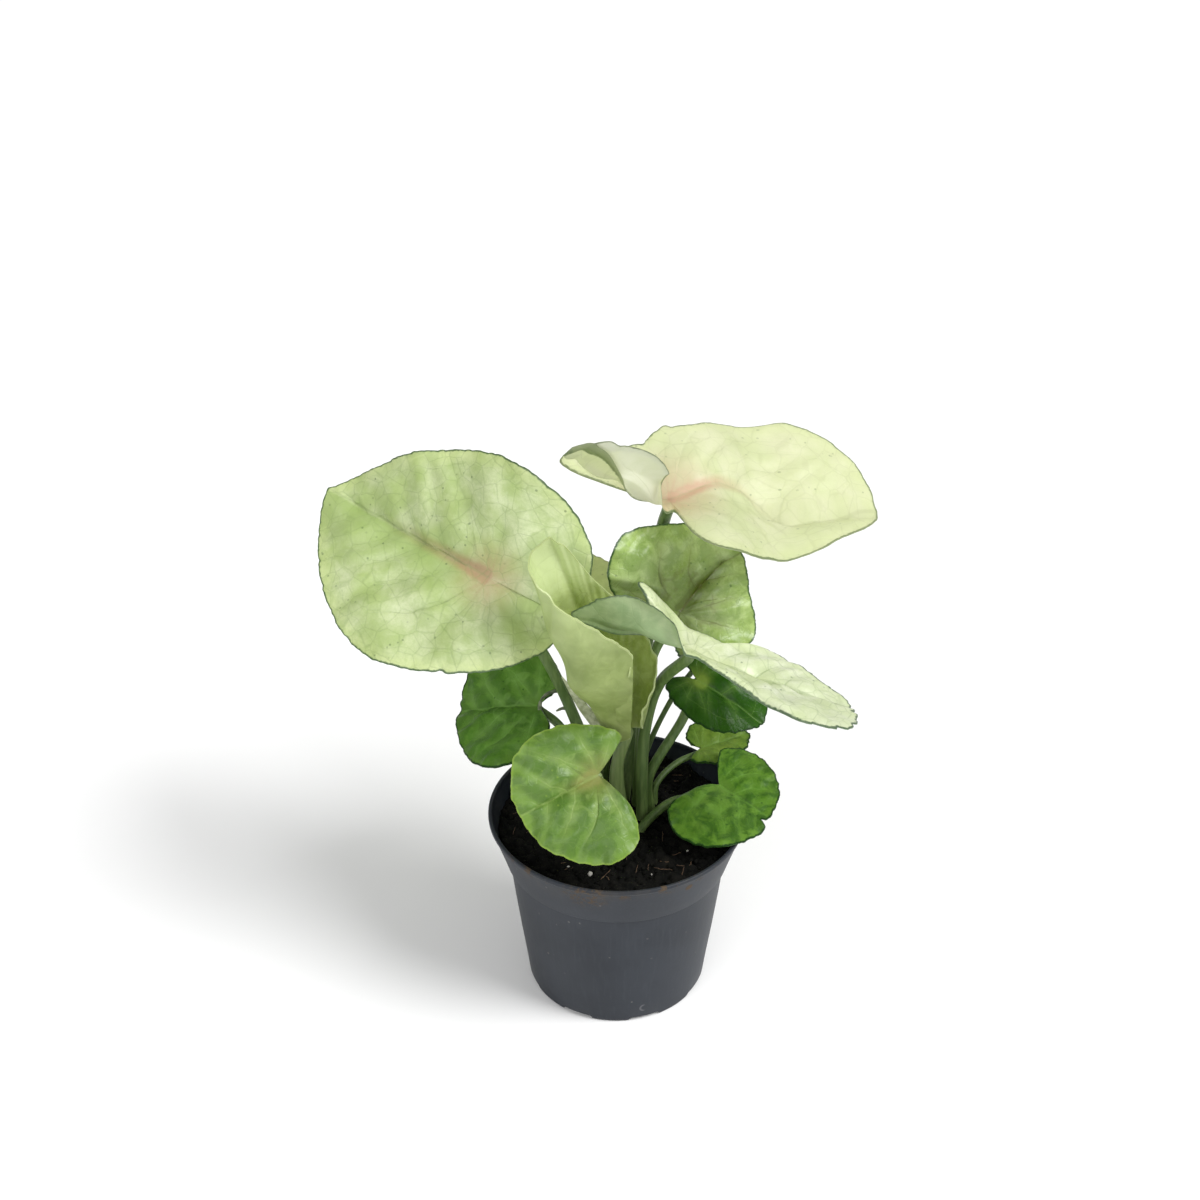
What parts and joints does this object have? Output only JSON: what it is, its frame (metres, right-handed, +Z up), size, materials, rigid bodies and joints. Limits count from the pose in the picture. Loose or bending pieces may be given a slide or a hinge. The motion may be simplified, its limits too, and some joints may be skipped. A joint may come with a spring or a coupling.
{
  "type": "potted houseplant",
  "caption": "Young syngonium houseplant with cream, pale and dark green heart-shaped leaves on slender stalks, growing from peat in a small tapered black nursery pot.",
  "frame": {"origin": "centre of the pot's base, on the surface it stands on", "axes": "+Z up, +X to the right in the picture, +Y away from the camera"},
  "size_m": [0.1599, 0.0979, 0.1724],
  "materials": {
    "pot_plastic": "satin slate black",
    "peat": "matt dark crumb",
    "cream_blade": "satin cream green with pink centre",
    "pale_blade": "satin pale yellow green",
    "light_green_blade": "satin light green",
    "mid_green_blade": "glossy medium green",
    "dark_green_blade": "glossy dark green",
    "petiole": "satin green"
  },
  "bodies": {
    "root": {"pot": "pot_plastic", "soil": "peat", "leaf_left_large": "cream_blade", "petiole_left_large": "petiole", "leaf_top_right": "cream_blade", "petiole_top_right": "petiole", "leaf_rolled": "pale_blade", "petiole_rolled": "petiole", "leaf_front_right": "cream_blade", "petiole_front_right": "petiole", "leaf_middle_back": "mid_green_blade", "petiole_middle_back": "petiole", "leaf_back_left": "light_green_blade", "petiole_back_left": "petiole", "leaf_left_low": "dark_green_blade", "petiole_left_low": "petiole", "leaf_front_low": "light_green_blade", "petiole_front_low": "petiole", "leaf_right_low": "dark_green_blade", "petiole_right_low": "petiole", "leaf_right_middle": "dark_green_blade", "petiole_right_middle": "petiole", "leaf_right_back": "light_green_blade", "petiole_right_back": "petiole", "leaf_back_small": "dark_green_blade", "petiole_back_small": "petiole"}
  },
  "joints": []
}
